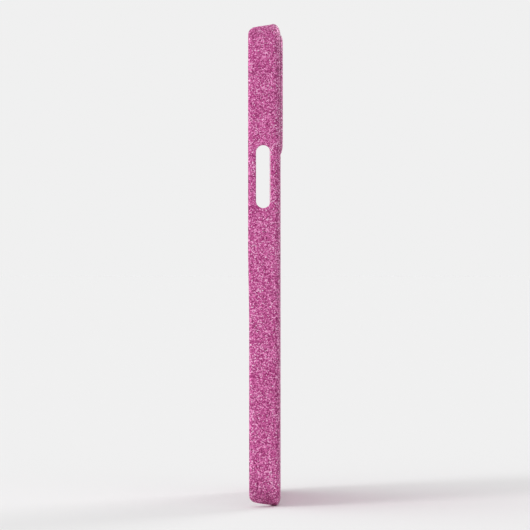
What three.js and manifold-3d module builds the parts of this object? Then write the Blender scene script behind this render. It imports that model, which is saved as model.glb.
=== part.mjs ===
// A slim hard case for a 6.1-inch flat-sided phone, with a glitter finish. Millimetres, +Z up.
// The case stands on its bottom end. +X is the back, -X the open front, -Y the side-button side.
// The origin is the middle of the bottom of the whole case, the camera bezel included.
import * as THREE from "three";
import { mergeVertices } from "three/addons/utils/BufferGeometryUtils.js";
import Module from "manifold-3d";

// Driving dimensions
const PHONE = { width: 71.5, height: 146.7 };
const CLEARANCE = 0.05;      // between the phone and the shell's walls
const SHELL_WALL = 0.9;
const SHELL_BACK = 0.85;
const LINING = 0.3;
const FILM = 0.3;            // glitter film over the outside
const BOND = 0.05;           // clear space between bonded pieces
const DEPTH = 10;            // front rim to back face
const CORNER_R = 11.3;       // of the outline, seen from the back
const BACK_EDGE = { depth: 1.9, side: 3.1 };       // its rounding is an ellipse
const RIM_EDGE = { depth: 0.8, side: 0.8 };
const LIP = { reach: 0.5, land: 0.8, end: 1.25 };  // snap lip; land and end count from the rim
const POCKET_FILLET = 0.5;   // between the pocket's walls and its back
const RIM_COVER = 1.05;      // how far in over the front rim the film turns
const SIDE_SLOT = { low: 92, high: 111.3, front: 2.45, width: 4.4 };
const VOLUME_SLOT = { low: 80.3, high: 122.3, front: 2.2, width: 4.4 };
const TOP_NOTCH = { half: 31.6, taper: 23, floor: 7.2, floorR: 2.7, rimR: 2.6 };
const BOTTOM_NOTCH = { half: 31.5, taper: 27, floor: 6.8, floorR: 2.5, rimR: 2.4 };
const BEZEL = { size: 36.3, top: 32.3, cornerR: 9.5, rise: 0.7, foot: 0.2, neck: 1.1 };
const BEZEL_PLACE = { left: 3.3, below: 3.4 };     // from the side-button side and the top
const CAMERA_OPENING = { size: 29.4, cornerR: 7.4 };
const LINING_EDGE = 1.4;     // from the pocket's wall to the lining's edge
const LINING_HOLE_MARGIN = 0.9;
const ARC_STEPS = 10;        // facets in a quarter turn of the outline
const EDGE_STEPS = 4;        // facets across a rounded edge

// Derived sizes and places
const SKIN = FILM + BOND;    // from the outer surface to the shell
const POCKET_INSET = SKIN + SHELL_WALL;
const WIDTH = PHONE.width + 2 * (CLEARANCE + POCKET_INSET);
const HEIGHT = PHONE.height + 2 * (CLEARANCE + POCKET_INSET);
const FRONT = -(DEPTH + BEZEL.rise) / 2;
const BACK = FRONT + DEPTH;
const POCKET_BACK = BACK - SKIN - SHELL_BACK;
const OUTLINE = { width: WIDTH, height: HEIGHT, cornerR: CORNER_R, y: 0, z: HEIGHT / 2 };
const BEZEL_Y = -WIDTH / 2 + BEZEL_PLACE.left + BEZEL.size / 2;
const BEZEL_Z = HEIGHT - BEZEL_PLACE.below - BEZEL.size / 2;
const OUT = 5;               // how far a cutter stands out of what it cuts
const NOTCH_REACH = 7.5;     // how far in from an end of the case a notch cutter reaches
const WALL_REACH = 3;        // how far in from a side of the case a slot cutter reaches

const wasm = await Module();
wasm.setup();

function solidFrom(geometry) {
  geometry.deleteAttribute("normal");
  geometry.deleteAttribute("uv");
  const merged = mergeVertices(geometry, 1e-5);
  return new wasm.Manifold(new wasm.Mesh({
    numProp: 3,
    vertProperties: new Float32Array(merged.attributes.position.array),
    triVerts: new Uint32Array(merged.index.array),
  }));
}

function geometryFrom(solid) {
  const { vertProperties, triVerts } = solid.getMesh();
  const geometry = new THREE.BufferGeometry();
  geometry.setAttribute("position", new THREE.BufferAttribute(vertProperties, 3));
  geometry.setIndex(new THREE.BufferAttribute(triVerts, 1));
  geometry.computeVertexNormals();
  return geometry;
}

// A polygon whose corners [x, y, radius] are rounded
function roundedPolygon(corners) {
  const shape = new THREE.Shape();
  corners.forEach(([x, y, radius], i) => {
    const corner = new THREE.Vector2(x, y);
    const before = new THREE.Vector2(...corners.at(i - 1));
    const after = new THREE.Vector2(...corners[(i + 1) % corners.length]);
    const incoming = corner.clone().sub(before).normalize();
    const outgoing = after.sub(corner).normalize();
    const turn = Math.atan2(incoming.cross(outgoing), incoming.dot(outgoing));
    const side = Math.sign(turn);
    const tangent = radius * Math.tan(Math.abs(turn) / 2);
    const start = corner.clone().addScaledVector(incoming, -tangent);
    const centre = start.clone().add(new THREE.Vector2(-incoming.y, incoming.x).multiplyScalar(side * radius));
    const from = Math.atan2(start.y - centre.y, start.x - centre.x);
    if (i === 0) shape.moveTo(start.x, start.y);
    else shape.lineTo(start.x, start.y);
    if (radius > 0) shape.absarc(centre.x, centre.y, radius, from, from + turn, side < 0);
  });
  return shape;
}

function roundedRectangle(width, height, radius) {
  const [w, h] = [width / 2, height / 2];
  return roundedPolygon([[w, -h, radius], [w, h, radius], [-w, h, radius], [-w, -h, radius]]);
}

// A solid whose section across X is `outline` drawn in by an inset. `levels` holds [x, inset] pairs from low x up.
function stacked(outline, levels) {
  const positions = [];
  const index = [];
  let count = 0;
  for (const [x, inset] of levels) {
    const shape = roundedRectangle(
      outline.width - 2 * inset, outline.height - 2 * inset, outline.cornerR - inset);
    const ring = shape.getPoints(ARC_STEPS / 2);
    if (ring[0].distanceTo(ring.at(-1)) < 1e-6) ring.pop();
    for (const point of ring) positions.push(x, outline.y + point.x, outline.z + point.y);
    count = ring.length;
  }
  levels.slice(1).forEach((_, level) => {
    for (let i = 0; i < count; i++) {
      const [a, b] = [level * count + i, level * count + (i + 1) % count];
      index.push(a, b, b + count, a, b + count, a + count);
    }
  });
  [[levels[0][0], 0, true], [levels.at(-1)[0], (levels.length - 1) * count, false]].forEach(
    ([x, first, facesFront]) => {
      const middle = positions.length / 3;
      positions.push(x, outline.y, outline.z);
      for (let i = 0; i < count; i++) {
        const [a, b] = [first + i, first + (i + 1) % count];
        index.push(middle, ...(facesFront ? [b, a] : [a, b]));
      }
    });
  const geometry = new THREE.BufferGeometry();
  geometry.setAttribute("position", new THREE.Float32BufferAttribute(positions, 3));
  geometry.setIndex(index);
  return solidFrom(geometry);
}

// The levels of a quarter ellipse on an edge, from the flat end face (facing -X or +X) to the side or back
function edgeLevels(endX, facing, edge, inset) {
  const steps = [...Array(EDGE_STEPS + 1).keys()].map((i) => (i / EDGE_STEPS) * Math.PI / 2);
  const levels = steps.map((angle) => [
    endX + facing * (-edge.depth + (edge.depth - inset) * Math.cos(angle)),
    edge.side - (edge.side - inset) * Math.sin(angle),
  ]);
  return facing < 0 ? levels : levels.reverse();
}

// The whole case's outer form, drawn in by an inset
function envelope(inset) {
  return stacked(OUTLINE, [...edgeLevels(FRONT, -1, RIM_EDGE, inset), ...edgeLevels(BACK, 1, BACK_EDGE, inset)]);
}

// A shape pushed along -Y (drawn in X and Z) or along -Z (drawn in Y and X)
function pushed(shape, across, up, along, origin, length) {
  const geometry = new THREE.ExtrudeGeometry(shape, {
    depth: length,
    bevelEnabled: false,
    curveSegments: ARC_STEPS / 2,
  });
  geometry.applyMatrix4(new THREE.Matrix4().makeBasis(across, up, along).setPosition(...origin));
  return solidFrom(geometry);
}

const X = new THREE.Vector3(1, 0, 0);
const Y = new THREE.Vector3(0, 1, 0);
const Z = new THREE.Vector3(0, 0, 1);

// A slot with round ends through the side wall that starts at `startY` and runs towards -Y
function slotCutter(slot, startY) {
  const shape = roundedRectangle(slot.width, slot.high - slot.low, slot.width / 2 - 0.001);
  const centre = [FRONT + slot.front + slot.width / 2, startY, (slot.low + slot.high) / 2];
  return pushed(shape, X, Z, Y.clone().negate(), centre, WALL_REACH + OUT);
}

// The wide cut through an end wall, open towards the front
function notchCutter(notch, startZ) {
  const floorHalf = notch.half - notch.floor * Math.tan(THREE.MathUtils.degToRad(notch.taper));
  const [outside, rimLine] = [WIDTH / 2 + OUT, -0.02];
  const shape = roundedPolygon([
    [-outside, -OUT, 0],
    [outside, -OUT, 0],
    [outside, rimLine, 0],
    [notch.half, rimLine, notch.rimR],
    [floorHalf, notch.floor, notch.floorR],
    [-floorHalf, notch.floor, notch.floorR],
    [-notch.half, rimLine, notch.rimR],
    [-outside, rimLine, 0],
  ]);
  return pushed(shape, Y, X, Z.clone().negate(), [FRONT, 0, startZ], NOTCH_REACH + OUT);
}

// The film and the shell share every opening except the camera's size
function cutOpenings(solid) {
  return solid
    .subtract(slotCutter(SIDE_SLOT, -WIDTH / 2 + WALL_REACH))
    .subtract(slotCutter(VOLUME_SLOT, WIDTH / 2 + OUT))
    .subtract(notchCutter(TOP_NOTCH, HEIGHT + OUT))
    .subtract(notchCutter(BOTTOM_NOTCH, NOTCH_REACH))
    .subtract(cameraCutter(BEZEL.neck + BOND));
}

function cameraOutline(margin) {
  const size = CAMERA_OPENING.size + 2 * margin;
  return { width: size, height: size, cornerR: CAMERA_OPENING.cornerR + margin, y: BEZEL_Y, z: BEZEL_Z };
}

function cameraCutter(margin) {
  return stacked(cameraOutline(margin), [[POCKET_BACK - LINING - OUT, 0], [BACK + OUT, 0]]);
}

// Pale moulded shell: back plate, rails, corner hooks and snap lips
function shellSolid() {
  const pocket = stacked(OUTLINE, [
    [FRONT - OUT, POCKET_INSET + LIP.reach],
    [FRONT + LIP.land, POCKET_INSET + LIP.reach],
    [FRONT + LIP.end, POCKET_INSET],
    [POCKET_BACK - POCKET_FILLET, POCKET_INSET],
    [POCKET_BACK, POCKET_INSET + POCKET_FILLET],
  ]);
  return cutOpenings(envelope(SKIN).subtract(pocket));
}

// Glitter film over the outside, turned in over the rim
function wrapSolid() {
  const rimOpening = stacked(OUTLINE, [[FRONT - OUT, RIM_COVER], [FRONT + OUT, RIM_COVER]]);
  return cutOpenings(envelope(0).subtract(envelope(FILM)).subtract(rimOpening));
}

// Raised ring with sloped sides, and a neck that lines the opening through film and shell
function bezelSolid() {
  const flange = { width: BEZEL.size, height: BEZEL.size, cornerR: BEZEL.cornerR, y: BEZEL_Y, z: BEZEL_Z };
  const raised = stacked(flange, [
    [BACK + BOND, 0],
    [BACK + BOND + BEZEL.foot, 0],
    [BACK + BEZEL.rise, (BEZEL.size - BEZEL.top) / 2],
  ]);
  const neck = stacked(cameraOutline(BEZEL.neck), [[POCKET_BACK, 0], [BACK + BEZEL.foot, 0]]);
  return raised.add(neck).subtract(cameraCutter(0));
}

// Microfibre sheet inside the back, clear of the walls and of the camera opening
function liningSolid() {
  const sheet = stacked(OUTLINE, [
    [POCKET_BACK - BOND - LINING, POCKET_INSET + LINING_EDGE],
    [POCKET_BACK - BOND, POCKET_INSET + LINING_EDGE],
  ]);
  return sheet.subtract(cameraCutter(BEZEL.neck + LINING_HOLE_MARGIN));
}

function piece(name, solid, color, roughness, metalness) {
  const material = new THREE.MeshStandardMaterial({ color, roughness, metalness });
  const mesh = new THREE.Mesh(geometryFrom(solid), material);
  mesh.name = name;
  return mesh;
}

const phoneCase = new THREE.Group();
phoneCase.add(
  piece("shell", shellSolid(), 0xf0d9e4, 0.45, 0),
  piece("glitter_wrap", wrapSolid(), 0xbb6296, 0.4, 0.3),
  piece("camera_bezel", bezelSolid(), 0xbb6296, 0.4, 0.3),
  piece("back_lining", liningSolid(), 0xe9e2e5, 0.95, 0),
);

export default phoneCase;
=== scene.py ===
"""The looks of a slim glitter phone case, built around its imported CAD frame. Metres, +Z up.

The case stands on its bottom end. +X is its back, -X its open front, and -Y its side-button side.
Lengths inside the builders are in millimetres and "depth" counts from the front rim towards the back.
"""
import math

import bpy
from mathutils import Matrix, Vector


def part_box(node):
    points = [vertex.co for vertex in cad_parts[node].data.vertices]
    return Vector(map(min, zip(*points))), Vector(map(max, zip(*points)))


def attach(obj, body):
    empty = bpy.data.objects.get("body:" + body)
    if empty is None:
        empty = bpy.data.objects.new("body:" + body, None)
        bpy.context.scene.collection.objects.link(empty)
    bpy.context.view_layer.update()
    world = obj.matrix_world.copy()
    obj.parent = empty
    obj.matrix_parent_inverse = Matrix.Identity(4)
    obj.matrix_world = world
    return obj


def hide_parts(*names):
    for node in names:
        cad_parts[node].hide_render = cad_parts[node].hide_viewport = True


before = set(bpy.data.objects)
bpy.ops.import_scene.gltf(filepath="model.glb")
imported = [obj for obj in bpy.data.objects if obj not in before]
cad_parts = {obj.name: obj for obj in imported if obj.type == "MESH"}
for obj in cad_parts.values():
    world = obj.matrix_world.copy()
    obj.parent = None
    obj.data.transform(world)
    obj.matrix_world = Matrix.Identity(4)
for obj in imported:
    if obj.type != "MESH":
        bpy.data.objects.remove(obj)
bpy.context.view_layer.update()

MM = 0.001

# Places that the frame gives, in millimetres
WRAP_LOW, WRAP_HIGH = (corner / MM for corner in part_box("glitter_wrap"))
BEZEL_LOW, BEZEL_HIGH = (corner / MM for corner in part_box("camera_bezel"))
LINING_LOW, LINING_HIGH = (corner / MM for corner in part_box("back_lining"))
FRONT = WRAP_LOW.x
DEPTH = WRAP_HIGH.x - WRAP_LOW.x
BACK = FRONT + DEPTH
WIDTH = WRAP_HIGH.y - WRAP_LOW.y
HEIGHT = WRAP_HIGH.z
BEZEL_Y = (BEZEL_LOW.y + BEZEL_HIGH.y) / 2
BEZEL_Z = (BEZEL_LOW.z + BEZEL_HIGH.z) / 2
LINING_WIDTH = LINING_HIGH.y - LINING_LOW.y
LINING_HEIGHT = LINING_HIGH.z - LINING_LOW.z

# Walls, as in the CAD part
FILM = 0.3
BOND = 0.05
SKIN = FILM + BOND
WALL = 0.9
POCKET = SKIN + WALL         # from a wall's outside to the phone's pocket
BACK_PLATE = 0.85
CORNER_R = 11.3
BACK_EDGE_DEPTH, BACK_EDGE_SIDE = 1.9, 3.1
RIM_COVER = 1.05             # how far the film turns in over the rim
LIP_REACH, LIP_LAND, LIP_END = 0.5, 0.8, 1.25
POCKET_FILLET = 0.5
SIDE_SLOT = {"low": 92, "high": 111.3, "front": 2.45, "width": 4.4, "side": -1}
VOLUME_SLOT = {"low": 80.3, "high": 122.3, "front": 2.2, "width": 4.4, "side": 1}
TOP_NOTCH = {"half": 31.6, "taper": 23, "floor": 7.2, "floor_r": 2.7, "rim_r": 2.6}
BOTTOM_NOTCH = {"half": 31.5, "taper": 27, "floor": 6.8, "floor_r": 2.5, "rim_r": 2.4}
CAMERA_SIZE, CAMERA_R = 29.4, 7.4
BEZEL_SIZE, BEZEL_TOP, BEZEL_R = 36.3, 32.3, 9.5
BEZEL_NECK = 1.1

# Finer shapes of the looks
PLATE_INSET = 5.0            # where the flat back starts in the meshes, inside the rounded edge
FOOT_EDGE, HEAD_EDGE = 0.8, 1.2      # shares of the back edge's rounding at the bottom and the top end
EDGE_NEAR, EDGE_FAR = 8, 30          # distances from an end between which that share changes
RIM_R, NOTCH_R = 0.8, 0.42           # rounding of the front rim, and of the end cut-outs' edges
RIM_EASE = (0.4, 1.6)        # depths of a cut-out between which the one rounding turns into the other
LIP_EASE = (0.35, 1.6)       # depths of a cut-out between which the lip fades away
LIP_EDGE_R = 0.18
RIM_STEP, STEP_LOW, STEP_HIGH = 0.32, 56, 80     # how far the rim steps back, and between which heights
SLOT_OUTER_R, SLOT_INNER_R = 0.3, 0.15
SEAM_WIDE, SEAM_DEEP, SEAM_UNDER = 0.2, 0.22, 0.1    # the channel round the bezel, and how far under it
LINING_EDGE = [(0.16, 0), (0.05, 0.05), (0, 0.15)]   # inset and depth round the lining's front edge
LINING_MARGIN = BEZEL_NECK + 0.9     # from the camera opening to the lining's own

# How many facets each rounding has
CORNER_FACETS = 14
BACK_FACETS, RIM_FACETS, HEM_FACETS, LIP_FACETS, FILLET_FACETS = 9, 7, 6, 5, 6
SLOT_OUTER_FACETS, SLOT_INNER_FACETS = 6, 3
SLOPE_FACETS, OPENING_FACETS = 8, 5


# ---------------------------------------------------------------- meshes

def smoothstep(low, high, value):
    """Eases from 0 at low to 1 at high."""
    t = min(max((value - low) / (high - low), 0.0), 1.0)
    return t * t * (3 - 2 * t)


def mesh_object(name, points, faces):
    """A mesh object from points in millimetres."""
    mesh = bpy.data.meshes.new(name)
    mesh.from_pydata([Vector(p) * MM for p in points], [], faces)
    mesh.validate()
    obj = bpy.data.objects.new(name, mesh)
    bpy.context.scene.collection.objects.link(obj)
    return obj


def finish_shading(obj, angle=40):
    """Shades obj smooth, except along edges sharper than the angle."""
    mesh = obj.data
    mesh.polygons.foreach_set("use_smooth", [True] * len(mesh.polygons))
    mesh.set_sharp_from_angle(angle=math.radians(angle))
    mesh.update()


def cut(obj, cutter):
    """Takes the cutter's solid out of obj, and removes the cutter."""
    modifier = obj.modifiers.new("cut", "BOOLEAN")
    modifier.operation = "DIFFERENCE"
    modifier.solver = "EXACT"
    modifier.object = cutter
    bpy.context.view_layer.update()
    evaluated = obj.evaluated_get(bpy.context.evaluated_depsgraph_get())
    mesh = bpy.data.meshes.new_from_object(evaluated)
    obj.modifiers.clear()
    old = obj.data
    obj.data = mesh
    mesh.name = old.name
    bpy.data.meshes.remove(old)
    spent = cutter.data
    bpy.data.objects.remove(cutter)
    bpy.data.meshes.remove(spent)


def rounded_rectangle(width, height, radius):
    """Points counter-clockwise round a rectangle with round corners, about its middle."""
    points = []
    for quarter in range(4):
        sy = 1 if quarter in (0, 3) else -1
        sz = 1 if quarter in (0, 1) else -1
        for i in range(CORNER_FACETS + 1):
            angle = (quarter + i / CORNER_FACETS) * math.pi / 2
            points.append((
                sy * (width / 2 - radius) + radius * math.cos(angle),
                sz * (height / 2 - radius) + radius * math.sin(angle),
            ))
    return points


def rounded_area(width, height, radius):
    """The area of a rectangle with round corners."""
    return width * height - (4 - math.pi) * radius ** 2


def lofted(name, rings, closed):
    """A skin over rings of equal length.

    Closed joins the last ring to the first; otherwise the two ends are capped.
    """
    count = len(rings[0])
    points = [p for ring in rings for p in ring]
    faces = []
    spans = len(rings) if closed else len(rings) - 1
    for r in range(spans):
        a, b = r * count, (r + 1) % len(rings) * count
        for i in range(count):
            j = (i + 1) % count
            faces.append((a + i, a + j, b + j, b + i))
    if not closed:
        faces.append(tuple(reversed(range(count))))
        faces.append(tuple(range((len(rings) - 1) * count, len(rings) * count)))
    return mesh_object(name, points, faces)


def arc(centre, radii, start, end, facets):
    """Points on an ellipse's arc as (inset, depth), its angles in degrees from the inset axis."""
    found = []
    for i in range(facets + 1):
        angle = math.radians(start + (end - start) * i / facets)
        found.append((
            centre[0] + radii[0] * math.cos(angle),
            centre[1] + radii[1] * math.sin(angle),
        ))
    return found


# ---------------------------------------------------------------- the case's wall

def outline_stations():
    """Where the wall's section stands round the outline: (y, z, outward normal's y and z)."""
    half_w, half_h = WIDTH / 2 - CORNER_R, HEIGHT / 2 - CORNER_R
    end_pitch, side_pitch = 1.6, 2.2
    fine, coarse = 34, 12
    stations = []

    def straight(start, end, normal, pitch):
        steps = max(1, round(math.dist(start, end) / pitch))
        for i in range(1, steps):
            t = i / steps
            y = start[0] + (end[0] - start[0]) * t
            z = start[1] + (end[1] - start[1]) * t
            stations.append((y, z + HEIGHT / 2, *normal))

    def corner(sy, sz, reverse):
        # Steps are finest on the half of the corner that the end cut-out crosses
        angles = [i * 45 / coarse for i in range(coarse)]
        angles += [45 + i * 45 / fine for i in range(fine + 1)]
        for degrees in (reversed(angles) if reverse else angles):
            a = math.radians(degrees)
            ny, nz = sy * math.cos(a), sz * math.sin(a)
            y = sy * half_w + CORNER_R * ny
            z = sz * half_h + CORNER_R * nz + HEIGHT / 2
            stations.append((y, z, ny, nz))

    corner(1, 1, False)
    straight((half_w, HEIGHT / 2), (-half_w, HEIGHT / 2), (0, 1), end_pitch)
    corner(-1, 1, True)
    straight((-WIDTH / 2, half_h), (-WIDTH / 2, -half_h), (-1, 0), side_pitch)
    corner(-1, -1, False)
    straight((-half_w, -HEIGHT / 2), (half_w, -HEIGHT / 2), (0, -1), end_pitch)
    corner(1, -1, True)
    straight((WIDTH / 2, -half_h), (WIDTH / 2, half_h), (1, 0), side_pitch)
    return stations


def notch_depth(notch, y):
    """How deep the end cut-out is at y, and how steeply that changes."""
    y = abs(y)
    taper = math.radians(notch["taper"])
    turn = math.tan((math.pi / 2 - taper) / 2)
    floor, half = notch["floor"], notch["half"]
    floor_half = half - floor * math.tan(taper)
    rim_r, floor_r = notch["rim_r"], notch["floor_r"]
    rim_t, floor_t = rim_r * turn, floor_r * turn
    rim_start = half + rim_t
    if y >= rim_start:
        return 0.0, 0.0
    if y > half - rim_t * math.sin(taper):
        away = rim_start - y
        rise = math.sqrt(rim_r ** 2 - away ** 2)
        return rim_r - rise, away / rise
    if y > floor_half + floor_t * math.sin(taper):
        return (half - y) / math.tan(taper), 1 / math.tan(taper)
    if y > floor_half - floor_t:
        away = y - (floor_half - floor_t)
        rise = math.sqrt(floor_r ** 2 - away ** 2)
        return floor - floor_r + rise, away / rise
    return floor, 0.0


def rim_at(y, z, nz):
    """The rim's depth at a point of the wall, and how much its rounding stretches along the depth."""
    notch = TOP_NOTCH if z > HEIGHT / 2 else BOTTOM_NOTCH
    step = RIM_STEP * (1 - smoothstep(STEP_LOW, STEP_HIGH, z))
    deep, slope = notch_depth(notch, y)
    share = 1 - step / notch["floor"]
    return step + deep * share, math.hypot(1, slope * nz)


def rim_radius(rim):
    """The rounding of the rim's edge where the rim lies this deep."""
    return RIM_R + (NOTCH_R - RIM_R) * smoothstep(*RIM_EASE, rim)


def back_edge_at(z):
    """The rounding of the back edge at a height: how far it reaches along the depth and in from the side."""
    share = FOOT_EDGE + (1 - FOOT_EDGE) * smoothstep(EDGE_NEAR, EDGE_FAR, z)
    share += (HEAD_EDGE - 1) * smoothstep(HEIGHT - EDGE_FAR, HEIGHT - EDGE_NEAR, z)
    return BACK_EDGE_DEPTH * share, BACK_EDGE_SIDE * share


def wall_solid(name, section):
    """Sweeps a section round the outline.

    The section holds (inset, depth, from_rim), and both its ends lie on the back plate.
    """
    rings = [[] for _ in section(0, HEIGHT / 2)]
    for y, z, ny, nz in outline_stations():
        outer_depth = rim_at(y, z, nz)[0]
        for ring, (inset, depth, from_rim) in zip(rings, section(outer_depth, z)):
            py, pz = y - ny * inset, z - nz * inset
            if from_rim:
                rim, stretch = rim_at(py, pz, nz)
                depth = rim + depth * stretch
            ring.append((FRONT + depth, py, pz))
    return lofted(name, rings, closed=False)


def counted(points, from_rim):
    """Section points whose depth counts from the rim, or else from the case's front."""
    return [(inset, depth, from_rim) for inset, depth in points]


def wrap_section(rim, z):
    """The film: its outside from the back plate to the rim, its hem and its inside back again."""
    edge_depth, edge_side = back_edge_at(z)
    back = DEPTH - edge_depth
    round_r = rim_radius(rim)
    hem_r = FILM / 2
    outer_back = arc((edge_side, back), (-edge_side, edge_depth), 90, 0, BACK_FACETS)
    outer_rim = arc((round_r, round_r), (-round_r, -round_r), 0, 90, RIM_FACETS)
    hem = arc((RIM_COVER - hem_r, hem_r), (hem_r, hem_r), -90, 90, HEM_FACETS)
    inner_rim = arc((round_r, round_r), (FILM - round_r, FILM - round_r), 90, 0, RIM_FACETS)
    inner_back = arc((edge_side, back), (FILM - edge_side, edge_depth - FILM), 0, 90, BACK_FACETS)
    points = counted([(PLATE_INSET, DEPTH)] + outer_back, False)
    points += counted(outer_rim + hem + inner_rim, True)
    points += counted(inner_back + [(PLATE_INSET, DEPTH - FILM)], False)
    return points


def shell_section(rim, z):
    """The shell: its outside from the back plate to the rim, its lip and the pocket's inside."""
    edge_depth, edge_side = back_edge_at(z)
    back = DEPTH - edge_depth
    round_r = rim_radius(rim)
    outer_back = arc((edge_side, back), (SKIN - edge_side, edge_depth - SKIN), 90, 0, BACK_FACETS)
    outer_rim = arc((round_r, round_r), (SKIN - round_r, SKIN - round_r), 0, 90, RIM_FACETS)

    reach = LIP_REACH * (1 - smoothstep(*LIP_EASE, rim))
    lip_edge = (POCKET + reach - LIP_EDGE_R, SKIN + LIP_EDGE_R)
    lip = arc(lip_edge, (LIP_EDGE_R, LIP_EDGE_R), -90, 0, LIP_FACETS)
    lip.append((POCKET + reach, LIP_LAND))
    # The slope under the lip ends in a short facet, whose points stay apart where the lip is gone
    slope_end = LIP_LAND + (LIP_END - LIP_LAND) * reach / LIP_REACH
    facet_share, facet_above, facet_below, least = 0.1, 0.06, 0.04, 0.004
    facet_top = max(slope_end - facet_above, LIP_LAND + least)
    lip += [(POCKET + facet_share * reach, facet_top), (POCKET, slope_end + facet_below)]

    inner = DEPTH - SKIN - BACK_PLATE
    fillet_centre = (POCKET + POCKET_FILLET, inner - POCKET_FILLET)
    fillet = arc(fillet_centre, (-POCKET_FILLET, POCKET_FILLET), 0, 90, FILLET_FACETS)
    points = counted([(PLATE_INSET, DEPTH - SKIN)] + outer_back, False)
    points += counted(outer_rim + lip, True)
    points += counted(fillet + [(PLATE_INSET, inner)], False)
    return points


# ---------------------------------------------------------------- openings

def flare(radius, rest):
    """How far a round edge has opened out, with rest still to go to the face that it meets."""
    return radius - math.sqrt(radius ** 2 - rest ** 2)


def slot_cutter(slot):
    """A long slot with round ends, its edges flared where it leaves the wall's two faces."""
    side = slot["side"]
    middle_x = FRONT + slot["front"] + slot["width"] / 2
    middle_z = (slot["low"] + slot["high"]) / 2
    overshoot = 2.0
    least_straight = 0.0005      # keeps the points of the two round ends apart
    levels = [(-overshoot, SLOT_OUTER_R)]
    for i in range(SLOT_OUTER_FACETS + 1):
        deep = SLOT_OUTER_R * i / SLOT_OUTER_FACETS
        levels.append((deep, flare(SLOT_OUTER_R, SLOT_OUTER_R - deep)))
    for i in range(SLOT_INNER_FACETS + 1):
        rest = SLOT_INNER_R * i / SLOT_INNER_FACETS
        levels.append((POCKET - SLOT_INNER_R + rest, flare(SLOT_INNER_R, rest)))
    levels.append((POCKET + overshoot, SLOT_INNER_R))
    rings = []
    for deep, opened in levels:
        width = slot["width"] + 2 * opened
        length = slot["high"] - slot["low"] + 2 * opened
        ring = [
            (middle_x + px, side * (WIDTH / 2 - deep), middle_z + pz)
            for px, pz in rounded_rectangle(width, length, width / 2 - least_straight)
        ]
        rings.append(ring if side > 0 else list(reversed(ring)))
    return lofted("slot_cutter", rings, closed=False)


def square_ring(size, radius, x):
    """A square with round corners about the camera bezel's middle, standing at x."""
    return [(x, BEZEL_Y + py, BEZEL_Z + pz) for py, pz in rounded_rectangle(size, size, radius)]


def camera_cutter(margin):
    """The camera opening, wider by the margin all round and long enough to go through the back."""
    size, radius = CAMERA_SIZE + 2 * margin, CAMERA_R + margin
    inside, outside = BACK - 4, BACK + 3
    rings = [square_ring(size, radius, inside), square_ring(size, radius, outside)]
    return lofted("camera_cutter", rings, closed=False)


def seam_cutter():
    """A shallow channel round the foot of the camera bezel, where it is bonded on the film."""
    low, high = BACK - SEAM_DEEP, BACK + 0.5
    outer, outer_r = BEZEL_SIZE + 2 * SEAM_WIDE, BEZEL_R + SEAM_WIDE
    inner, inner_r = BEZEL_SIZE - 2 * SEAM_UNDER, BEZEL_R - SEAM_UNDER
    rings = [square_ring(outer, outer_r, low), square_ring(outer, outer_r, high)]
    rings += [square_ring(inner, inner_r, high), square_ring(inner, inner_r, low)]
    return lofted("seam_cutter", rings, closed=True)


def cut_openings(obj):
    """Cuts the two slots and the camera opening, which leaves room for the bezel's neck."""
    cut(obj, slot_cutter(SIDE_SLOT))
    cut(obj, slot_cutter(VOLUME_SLOT))
    cut(obj, camera_cutter(BEZEL_NECK + BOND))


# ---------------------------------------------------------------- the bezel and the lining

def bezel_solid():
    """The raised ring: sloped sides, a softly rounded top and a neck down through film and shell."""
    base, top, foot = BACK + BOND, BEZEL_HIGH.x, BEZEL_LOW.x
    run = (BEZEL_SIZE - BEZEL_TOP) / 2
    opening = (BEZEL_SIZE - CAMERA_SIZE) / 2
    neck, neck_r = opening - BEZEL_NECK, CAMERA_R + BEZEL_NECK
    rings = []

    def add(inset, x, radius=None):
        radius = BEZEL_R - inset if radius is None else radius
        rings.append(square_ring(BEZEL_SIZE - 2 * inset, radius, x))

    # A broken lower edge and a low upright foot
    break_in, break_up, upright = 0.12, 0.06, 0.16
    add(break_in, base)
    add(0.0, base + break_up)
    add(0.0, base + upright)

    # The sloped side, bowed so that it steepens at the foot and rolls over at the top
    bow, roll = 0.35, 1.15
    for i in range(1, SLOPE_FACETS + 1):
        t = i / SLOPE_FACETS
        rise = math.sin(t * math.pi / 2) ** roll
        inset = run * t * t * bow + run * t * (1 - bow)
        add(inset, base + upright + (top - base - upright) * rise)

    # The opening's rounded edge, then its chamfered foot
    edge_r, opening_chamfer, neck_chamfer = 0.3, 0.15, 0.1
    for inset, x in arc((opening - edge_r, top - edge_r), (edge_r, edge_r), 90, 0, OPENING_FACETS):
        add(inset, x, CAMERA_R)
    add(opening, foot + opening_chamfer, CAMERA_R)
    add(opening - opening_chamfer, foot, CAMERA_R)
    add(neck + neck_chamfer, foot, neck_r - neck_chamfer)
    add(neck, foot + neck_chamfer, neck_r)
    add(neck, base, neck_r)
    return lofted("bezel", rings, closed=True)


def lining_radius():
    """The round of the lining's corners, which run parallel to the case's own."""
    return CORNER_R - (WIDTH - LINING_WIDTH) / 2


def lining_solid():
    """The lining: a thin sheet with rounded edges and an opening for the camera bezel's neck."""
    levels = [(inset, LINING_LOW.x + depth) for inset, depth in LINING_EDGE]
    levels.append((0, LINING_HIGH.x))
    rings = []
    for inset, x in levels:
        outline = rounded_rectangle(
            LINING_WIDTH - 2 * inset, LINING_HEIGHT - 2 * inset, lining_radius() - inset)
        rings.append([(x, py, HEIGHT / 2 + pz) for py, pz in outline])
    sheet = lofted("lining", rings, closed=False)
    cut(sheet, camera_cutter(LINING_MARGIN))
    return sheet


# ---------------------------------------------------------------- materials

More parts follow.
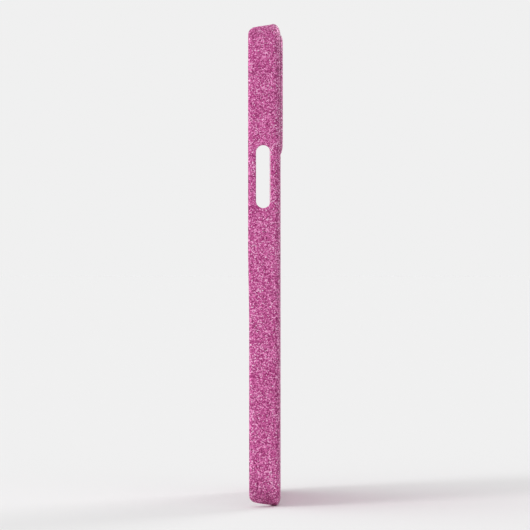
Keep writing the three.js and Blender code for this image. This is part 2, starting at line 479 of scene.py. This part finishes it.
class Nodes:
    """Adds shader nodes to a material or a world, and links them."""

    def __init__(self, owner, shader):
        owner.use_nodes = True
        self.tree = owner.node_tree
        self.shader = self.tree.nodes[shader]

    def feed(self, socket, value):
        """Links a socket to another one, or sets its value."""
        if isinstance(value, bpy.types.NodeSocket):
            self.tree.links.new(value, socket)
        else:
            socket.default_value = value

    def feed_named(self, node, inputs):
        for key, value in inputs.items():
            self.feed(node.inputs[key.replace("_", " ")], value)

    def add(self, kind, settings=None, **inputs):
        node = self.tree.nodes.new(kind)
        for key, value in (settings or {}).items():
            setattr(node, key, value)
        self.feed_named(node, inputs)
        return node

    def surface(self, **inputs):
        self.feed_named(self.shader, inputs)

    def math(self, operation, a, b, clamp=False):
        node = self.add("ShaderNodeMath", {"operation": operation, "use_clamp": clamp})
        self.feed(node.inputs[0], a)
        self.feed(node.inputs[1], b)
        return node.outputs[0]

    def mixed(self, a, b, share):
        """Mostly a, with b's share of it."""
        return self.math("ADD", self.math("MULTIPLY", a, 1 - share), self.math("MULTIPLY", b, share))

    def between(self, value, low, high):
        """Spreads a value of 0 to 1 from low to high."""
        return self.math("ADD", self.math("MULTIPLY", value, high - low), low)

    def vector(self, operation, a, b=None, scale=None):
        node = self.add("ShaderNodeVectorMath", {"operation": operation})
        self.feed(node.inputs[0], a)
        if b is not None:
            self.feed(node.inputs[1], b)
        if scale is not None:
            self.feed(node.inputs["Scale"], scale)
        return node.outputs["Value" if operation == "DOT_PRODUCT" else "Vector"]

    def eased(self, value, low, high, start, end):
        """Goes smoothly from start to end as the value goes from low to high."""
        node = self.add(
            "ShaderNodeMapRange", {"interpolation_type": "SMOOTHSTEP"},
            Value=value, From_Min=low, From_Max=high, To_Min=start, To_Max=end)
        return node.outputs["Result"]

    def ramp(self, value, stops):
        node = self.tree.nodes.new("ShaderNodeValToRGB")
        elements = node.color_ramp.elements
        while len(elements) < len(stops):
            elements.new(0.5)
        for element, (position, colour) in zip(elements, stops):
            element.position = position
            element.color = (*colour, 1)
        self.feed(node.inputs[0], value)
        return node.outputs[0]

    def place(self):
        """Object coordinates, in metres."""
        return self.add("ShaderNodeTexCoord").outputs["Object"]

    def random(self, texture):
        """A texture cell's three random numbers."""
        return self.add("ShaderNodeSeparateColor", Color=texture.outputs["Color"]).outputs


def new_material(name):
    """A material, and the helper that builds its nodes."""
    material = bpy.data.materials.new(name)
    return material, Nodes(material, "Principled BSDF")


def srgb(red, green, blue):
    """Linear colour from sRGB values out of 255."""
    return tuple(
        c / 12.92 if c <= 0.04045 else ((c + 0.055) / 1.055) ** 2.4
        for c in (red / 255, green / 255, blue / 255)
    )


# The glitter's shades, from the dullest flakes to the brightest
FLAKES = [
    (0.00, srgb(94, 12, 62)),
    (0.18, srgb(130, 32, 90)),
    (0.38, srgb(168, 62, 124)),
    (0.59, srgb(199, 92, 154)),
    (0.75, srgb(240, 134, 196)),
    (0.87, srgb(255, 190, 232)),
    (1.00, srgb(255, 246, 253)),
]
SHELL_SHADES = [(0.3, srgb(226, 202, 214)), (0.7, srgb(235, 213, 224))]
PILE_SHADES = [(0.3, srgb(150, 132, 142)), (0.5, srgb(186, 170, 179)), (0.7, srgb(214, 201, 208))]
FLAKE_MM = 0.28
SMALLER, SMALL_SHARE = 1.7, 0.26     # how many times smaller the small flakes are, and their share of a shade
FLAKE_TILT = 0.55
METAL_FROM, METAL = 0.45, 0.55       # flakes whose random number is above the one are metallic by the other
DRIFT = 0.16                 # how far the flakes drift in shade over the case, as a share of that range


def glitter_material(name, highlight_lift=0.0):
    """Flakes of random shade and tilt. A lift above 0 moves every flake towards the bright end of FLAKES: a
    painted highlight over the whole piece.
    """
    material, n = new_material(name)
    place = n.place()
    scale = 1 / (FLAKE_MM * MM)
    flakes = n.add("ShaderNodeTexVoronoi", Vector=place, Scale=scale, Randomness=1.0)
    small = n.add("ShaderNodeTexVoronoi", Vector=place, Scale=scale * SMALLER, Randomness=1.0)
    drift = n.add("ShaderNodeTexNoise", Vector=place, Scale=160.0, Detail=3.0, Roughness=0.6)
    shade, gloss, metal = n.random(flakes)[:3]
    mixed = n.mixed(shade, n.random(small)[0], SMALL_SHARE)
    cloud = n.math("MULTIPLY", n.math("SUBTRACT", drift.outputs[0], 0.5 - highlight_lift / DRIFT), DRIFT)
    colour = n.ramp(n.math("ADD", mixed, cloud, clamp=True), FLAKES)
    centred = n.vector("SUBTRACT", flakes.outputs["Color"], (0.5, 0.5, 0.5))
    tilt = n.vector("SCALE", centred, scale=FLAKE_TILT)
    normal = n.add("ShaderNodeNewGeometry").outputs["Normal"]
    facing = n.vector("NORMALIZE", n.vector("ADD", normal, tilt))
    metallic = n.math("MULTIPLY", n.math("GREATER_THAN", metal, METAL_FROM), METAL)
    n.surface(
        Base_Color=colour, Roughness=n.between(gloss, 0.32, 0.62), Metallic=metallic,
        Normal=facing, Specular_IOR_Level=0.22)
    return material


def shell_material():
    """Pale satin plastic with a fine moulded grain."""
    material, n = new_material("moulded_polycarbonate")
    place = n.place()
    cloud = n.add("ShaderNodeTexNoise", Vector=place, Scale=90.0, Detail=4.0)
    grain = n.add("ShaderNodeTexNoise", Vector=place, Scale=5200.0, Detail=2.0).outputs[0]
    bump = n.add("ShaderNodeBump", Strength=0.25, Distance=0.00004, Height=grain)
    n.surface(
        Base_Color=n.ramp(cloud.outputs[0], SHELL_SHADES), Roughness=n.between(grain, 0.3, 0.52),
        Normal=bump.outputs[0], Subsurface_Weight=0.08, Subsurface_Scale=0.001)
    return material


def lining_material():
    """Short pile brushed along the case, with a faint nap."""
    material, n = new_material("microfibre")
    place = n.place()
    strands = n.vector("MULTIPLY", place, (1.0, 4.0, 1.0))
    brushed = n.vector("MULTIPLY", place, (1.0, 2.2, 1.0))
    pile = n.add(
        "ShaderNodeTexNoise", Vector=strands, Scale=2600.0, Detail=4.0, Roughness=0.7).outputs[0]
    nap = n.add(
        "ShaderNodeTexNoise", Vector=brushed, Scale=40.0, Detail=2.0, Roughness=0.5).outputs[0]
    bump = n.add("ShaderNodeBump", Strength=0.5, Distance=0.00012, Height=pile)
    n.surface(
        Base_Color=n.ramp(n.mixed(pile, nap, 0.1), PILE_SHADES), Roughness=n.between(nap, 0.8, 0.95),
        Normal=bump.outputs[0], Sheen_Weight=0.35, Sheen_Roughness=0.45)
    return material


# ---------------------------------------------------------------- the pieces

def add_piece(obj, node, material, name):
    """Finishes a piece: names it, gives it its material, hangs it on the root body and hides the CAD solid it
    stands for.
    """
    obj.name = name
    obj.data.name = name
    finish_shading(obj)
    obj.data.materials.clear()
    obj.data.materials.append(material)
    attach(obj, "root")
    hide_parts(node)


wrap = wall_solid("wrap", wrap_section)
cut_openings(wrap)
cut(wrap, seam_cutter())
add_piece(wrap, "glitter_wrap", glitter_material("pink_glitter"), "glitter_film")

shell = wall_solid("shell", shell_section)
cut_openings(shell)
add_piece(shell, "shell", shell_material(), "case_shell")

bezel = bezel_solid()
# The surround's flakes are a shade brighter than the film's: a painted highlight that makes the raised ring
# stand out
add_piece(bezel, "camera_bezel", glitter_material("bezel_glitter", highlight_lift=0.06), "camera_surround")

lining = lining_solid()
add_piece(lining, "back_lining", lining_material(), "microfibre_lining")
lining_size = (LINING_WIDTH, LINING_HEIGHT)
hole = CAMERA_SIZE + 2 * LINING_MARGIN
lining_area = rounded_area(*lining_size, lining_radius())
lining_area -= rounded_area(hole, hole, CAMERA_R + LINING_MARGIN)


# ---------------------------------------------------------------- studio

FLOOR_SHADE = 0.835
FLOOR_REACH = 20.0           # metres, each way
BACKDROP = 0.871             # the pale band that stands behind the case, all round
BAND_LOW, BAND_HIGH = 0.1, 0.22      # heights of a direction between which the band gives way to the sky
BRIGHT_SIDE = (-0.85, -0.35, 0.4)
DIM_AT, BRIGHT_AT = -0.75, 0.85      # how far along BRIGHT_SIDE the sky is at its dimmest and brightest
DIM, BRIGHT = 0.3, 1.07
LENS, SENSOR = 210.45, 36
CLIP_END = 100               # metres
CAMERA_X = FRONT + 5.2
CAMERA_Z = 74.54
CAMERA_AWAY = 950            # from the side wall


def add_floor():
    """A plain matt floor that reaches far beyond the case."""
    mesh = bpy.data.meshes.new("floor")
    corners = [
        (sx * FLOOR_REACH, sy * FLOOR_REACH, 0) for sx, sy in ((-1, -1), (1, -1), (1, 1), (-1, 1))]
    mesh.from_pydata(corners, [], [(0, 1, 2, 3)])
    floor = bpy.data.objects.new("floor", mesh)
    bpy.context.scene.collection.objects.link(floor)
    material, n = new_material("studio_floor")
    shade = (FLOOR_SHADE, FLOOR_SHADE, FLOOR_SHADE, 1)
    n.surface(Base_Color=shade, Roughness=1.0, Specular_IOR_Level=0.0)
    mesh.materials.append(material)


def add_world():
    """A pale backdrop round the horizon, and above it a sky that is brightest towards BRIGHT_SIDE."""
    world = bpy.data.worlds.new("studio")
    bpy.context.scene.world = world
    n = Nodes(world, "Background")
    direction = n.add("ShaderNodeTexCoord").outputs["Generated"]
    along = n.vector("DOT_PRODUCT", direction, Vector(BRIGHT_SIDE).normalized())
    height = n.add("ShaderNodeSeparateXYZ", Vector=direction).outputs["Z"]
    sky = n.eased(along, DIM_AT, BRIGHT_AT, DIM, BRIGHT)
    strength = n.eased(height, BAND_LOW, BAND_HIGH, BACKDROP, sky)
    n.surface(Color=(1, 1, 1, 1), Strength=strength)


def add_sun(name, towards, energy, softness):
    """A far, soft light that stands in the direction `towards` and looks `softness` degrees wide."""
    light = bpy.data.lights.new(name, "SUN")
    light.energy = energy
    light.angle = math.radians(softness)
    lamp = bpy.data.objects.new(name, light)
    lamp.rotation_euler = Vector(towards).to_track_quat("Z", "Y").to_euler()
    bpy.context.scene.collection.objects.link(lamp)


def add_camera():
    """A long lens, level and square on to the side-button side."""
    data = bpy.data.cameras.new("camera")
    data.sensor_width = SENSOR
    data.lens = LENS
    data.clip_end = CLIP_END
    camera = bpy.data.objects.new("camera", data)
    camera.location = Vector((CAMERA_X, -WIDTH / 2 - CAMERA_AWAY, CAMERA_Z)) * MM
    camera.rotation_euler = (math.pi / 2, 0, 0)
    bpy.context.scene.collection.objects.link(camera)
    bpy.context.scene.camera = camera


add_floor()
add_world()
add_sun("key", towards=(-0.76, -0.54, 0.44), energy=0.9, softness=22)
add_sun("back_light", towards=(0.5, 0.7, 0.5), energy=0.75, softness=30)
add_camera()
bpy.context.scene.view_settings.view_transform = "Standard"
